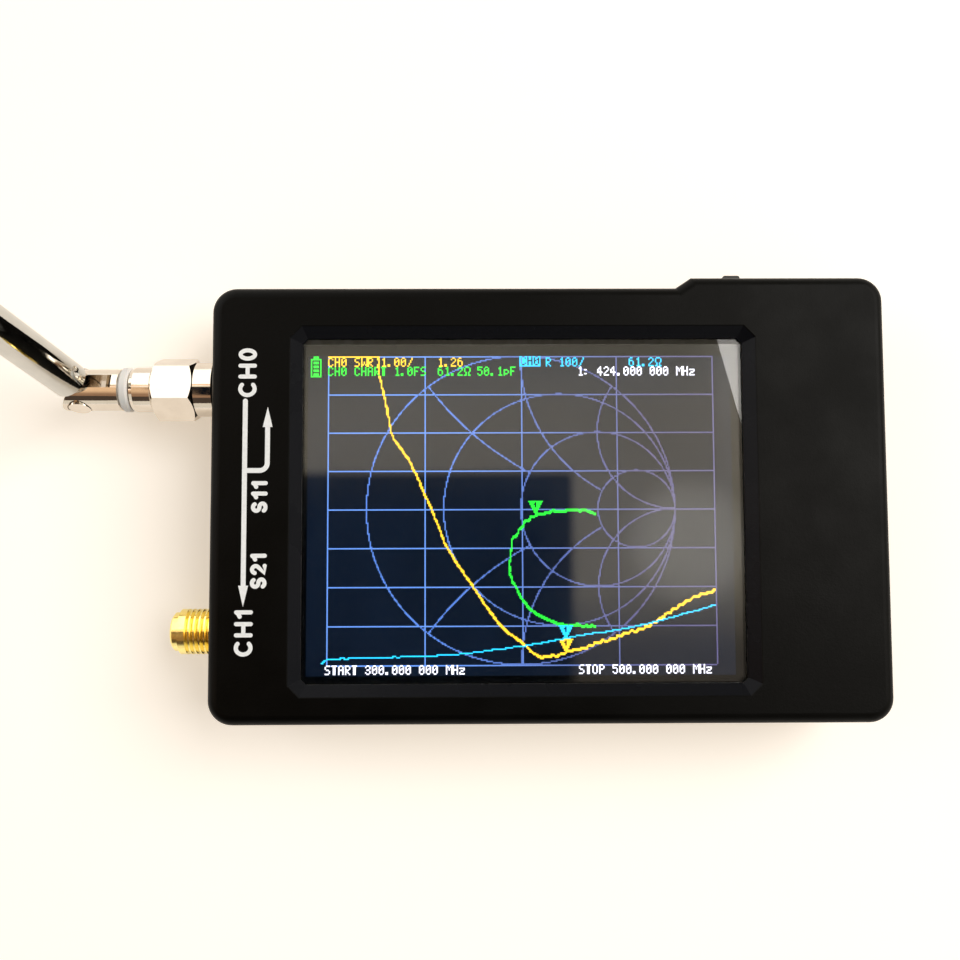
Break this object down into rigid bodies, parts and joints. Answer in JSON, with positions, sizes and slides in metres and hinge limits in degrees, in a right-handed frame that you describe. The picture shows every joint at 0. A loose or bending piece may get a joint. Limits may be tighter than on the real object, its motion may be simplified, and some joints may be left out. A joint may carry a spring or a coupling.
{
  "type": "antenna analyzer",
  "caption": "Hand-held radio antenna analyzer with a bevelled colour touch display, two threaded ports, a jog lever and a jointed telescopic antenna.",
  "frame": {"origin": "centre of the case's flat back face, without the raised part of the upper edge", "axes": "+X right along the case, away from the ports; +Y towards the edge with the jog lever; +Z out of the display"},
  "size_m": [0.151, 0.0946, 0.1523],
  "materials": {
    "case_plastic": "fine moulded texture",
    "screw_steel": "plain",
    "foam": "closed-cell foam",
    "touch_glass": "polished",
    "adhesive": "double-sided tape",
    "lcd_glass": "glass laminate, glossy",
    "tray_plastic": "moulded",
    "guide_plastic": "clear",
    "flex_film": "polyimide film",
    "connector_plastic": "moulded",
    "board_laminate": "solder mask",
    "can_steel": "tinned",
    "chip_resin": "moulded",
    "gold": "gold plated",
    "white_insulator": "fluoropolymer",
    "black_rubber": "smooth",
    "lever_plastic": "moulded",
    "battery_foil": "laminated foil",
    "lead_rubber": "insulation",
    "white_connector": "moulded",
    "nickel": "bright nickel plating on brass",
    "bush_plastic": "moulded",
    "tube_nickel": "bright nickel plating on brass tube"
  },
  "bodies": {
    "analyzer": {"front_case": "case_plastic", "rear_case": "case_plastic", "case_screws": "screw_steel", "window_gasket": "foam", "touch_panel": "touch_glass", "touch_adhesive": "adhesive", "lcd_panel": "lcd_glass", "backlight_tray": "tray_plastic", "light_guide": "guide_plastic", "display_tape": "adhesive", "display_flex": "flex_film", "flex_connector": "connector_plastic", "main_board": "board_laminate", "shield_can_out": "can_steel", "shield_can_in": "can_steel", "mixer_chips": "chip_resin", "processor_chip": "chip_resin", "clock_chip": "chip_resin", "socket_out_shell": "gold", "socket_out_insulator": "white_insulator", "socket_out_contact": "gold", "socket_in_shell": "gold", "socket_in_insulator": "white_insulator", "socket_in_contact": "gold", "port_washer": "black_rubber", "usb_shell": "can_steel", "usb_tongue": "connector_plastic", "jog_housing": "connector_plastic", "power_housing": "can_steel", "battery_cell": "battery_foil", "battery_tape": "adhesive", "battery_leads": "lead_rubber", "battery_plug": "white_connector", "battery_header": "white_connector"},
    "jog_push_carrier": {"jog_carrier": "connector_plastic"},
    "jog_tilt_lever": {"jog_lever": "lever_plastic"},
    "power_knob": {"power_slider": "lever_plastic"},
    "antenna_plug": {"plug_barrel": "nickel", "nut_ring": "screw_steel", "plug_insulator": "white_insulator", "plug_pin": "gold", "swivel_bush": "bush_plastic"},
    "nut": {"coupling_nut": "nickel"},
    "swivel": {"swivel_clevis": "nickel", "elbow_pin": "nickel"},
    "whip_section_1": {"whip_knuckle": "nickel", "whip_tube_1": "tube_nickel"},
    "whip_section_2": {"whip_tube_2": "tube_nickel"},
    "whip_section_3": {"whip_tube_3": "tube_nickel"},
    "whip_section_4": {"whip_tube_4": "tube_nickel"},
    "whip_section_5": {"whip_rod": "tube_nickel", "whip_cap": "tube_nickel"}
  },
  "joints": [
    {"name": "jog_push", "type": "slide", "parent": "analyzer", "child": "jog_push_carrier", "axis": [0, -1, 0], "range_m": [0, 0.0004], "stiffness_N_per_m": 500, "springref_m": -0.001},
    {"name": "jog_tilt", "type": "hinge", "parent": "jog_push_carrier", "child": "jog_tilt_lever", "pos_m": [0.0271, 0.02565, 0.0069], "axis": [0, 0, 1], "range_deg": [-12, 12], "stiffness_Nm_per_rad": 0.01},
    {"name": "power_slide", "type": "slide", "parent": "analyzer", "child": "power_knob", "axis": [-1, 0, 0], "range_m": [0, 0.002]},
    {"name": "antenna_withdraw", "type": "slide", "parent": "analyzer", "child": "antenna_plug", "axis": [-1, 0, 0], "range_m": [0, 0.00459]},
    {"name": "nut_turn", "type": "hinge", "parent": "antenna_plug", "child": "nut", "pos_m": [-0.05, 0.0166, 0.0082], "axis": [-1, 0, 0], "range_deg": [0, 2341]},
    {"name": "antenna_swivel", "type": "hinge", "parent": "antenna_plug", "child": "swivel", "pos_m": [-0.058, 0.0166, 0.0082], "axis": [-1, 0, 0], "continuous": true},
    {"name": "antenna_elbow", "type": "hinge", "parent": "swivel", "child": "whip_section_1", "pos_m": [-0.0658, 0.0166, 0.0082], "axis": [0, 0.9511, -0.309], "range_deg": [-76, 14]},
    {"name": "whip_slide_2", "type": "slide", "parent": "whip_section_1", "child": "whip_section_2", "axis": [-0.2419, 0.2998, 0.9228], "range_m": [-0.0242, 0.0154]},
    {"name": "whip_slide_3", "type": "slide", "parent": "whip_section_2", "child": "whip_section_3", "axis": [-0.2419, 0.2998, 0.9228], "range_m": [-0.0242, 0.0154]},
    {"name": "whip_slide_4", "type": "slide", "parent": "whip_section_3", "child": "whip_section_4", "axis": [-0.2419, 0.2998, 0.9228], "range_m": [-0.0242, 0.0154]},
    {"name": "whip_slide_5", "type": "slide", "parent": "whip_section_4", "child": "whip_section_5", "axis": [-0.2419, 0.2998, 0.9228], "range_m": [-0.0242, 0.0154]}
  ],
  "couplings": [
    {"joint": "nut_turn", "follows": "antenna_withdraw", "rad_per_m": 8905.2}
  ]
}
